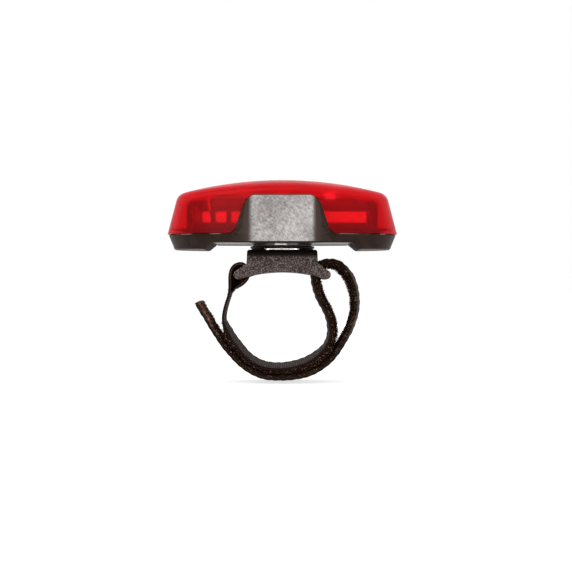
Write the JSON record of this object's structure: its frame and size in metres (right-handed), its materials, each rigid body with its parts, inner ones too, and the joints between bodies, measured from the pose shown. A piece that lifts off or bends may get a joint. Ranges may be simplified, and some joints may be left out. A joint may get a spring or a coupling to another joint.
{
  "type": "bicycle rear light",
  "caption": "Bicycle rear light with a crowned red lens over a dark base, on a swivel bracket that a hook-and-loop strap holds to a tube.",
  "frame": {"origin": "crown of the bracket's saddle, in the middle of the strap's width", "axes": "+Y along the tube, +Z from the tube through the swivel to the lens crest, +X across the light"},
  "size_m": [0.0622, 0.0384, 0.0538],
  "materials": {
    "housing_plastic": "fine sparked texture, slightly worn",
    "seal_rubber": "matt",
    "carrier_plastic": "matt moulded",
    "steel": "plain bright",
    "cell_jacket": "printed jacket without markings",
    "lamp_board": "pale solder mask",
    "switch_board": "solder mask",
    "lamp": "clear lamp on a pale body",
    "chip": "moulded",
    "lead_red": "insulation",
    "lead_black": "insulation",
    "plunger": "moulded",
    "button_rubber": "soft matt",
    "lens_red": "transparent tinted, lightly frosted inside",
    "bracket_plastic": "moulded, slightly shiny",
    "washer_steel": "polished bright",
    "strap_tape": "woven, fine cross ribs",
    "strap_pile": "fuzzy loops",
    "strap_hooks": "dense stiff hooks"
  },
  "bodies": {
    "bracket": {"strap_bracket": "bracket_plastic", "thrust_washer": "washer_steel", "spring_washer": "steel", "strap_tape": "strap_tape", "pile_patch": "strap_pile", "hook_patch": "strap_hooks"},
    "head": {"base_housing": "housing_plastic", "lens_seal": "seal_rubber", "battery_carrier": "carrier_plastic", "carrier_screws": "steel", "cell_front": "cell_jacket", "cell_rear": "cell_jacket", "contact_negative": "steel", "contact_positive": "steel", "contact_bridge": "steel", "spring_front": "steel", "spring_rear": "steel", "led_board": "lamp_board", "board_screws": "steel", "led_main": "lamp", "led_side_left": "lamp", "led_side_right": "lamp", "driver_chip": "chip", "capacitor": "chip", "battery_lead": "lead_red", "return_lead": "lead_black", "switch_board": "switch_board", "switch_body": "chip", "switch_screws": "steel", "switch_leads": "lead_black", "swivel_plate": "bracket_plastic", "pivot_nut": "steel", "pivot_screw": "steel"},
    "lens": {"lens_cover": "lens_red"},
    "button": {"button_cap": "button_rubber", "switch_plunger": "plunger"}
  },
  "joints": [
    {"name": "head_swivel", "type": "hinge", "parent": "bracket", "child": "head", "pos_m": [0, 0, 0.0059], "axis": [0, 0, 1], "range_deg": [-90, 90]},
    {"name": "lens_release", "type": "slide", "parent": "head", "child": "lens", "axis": [0, 0, 1], "range_m": [0, 0.02]},
    {"name": "button_press", "type": "slide", "parent": "head", "child": "button", "axis": [0, -0.9799, -0.1994], "range_m": [0, 0.0004], "stiffness_N_per_m": 1500}
  ]
}
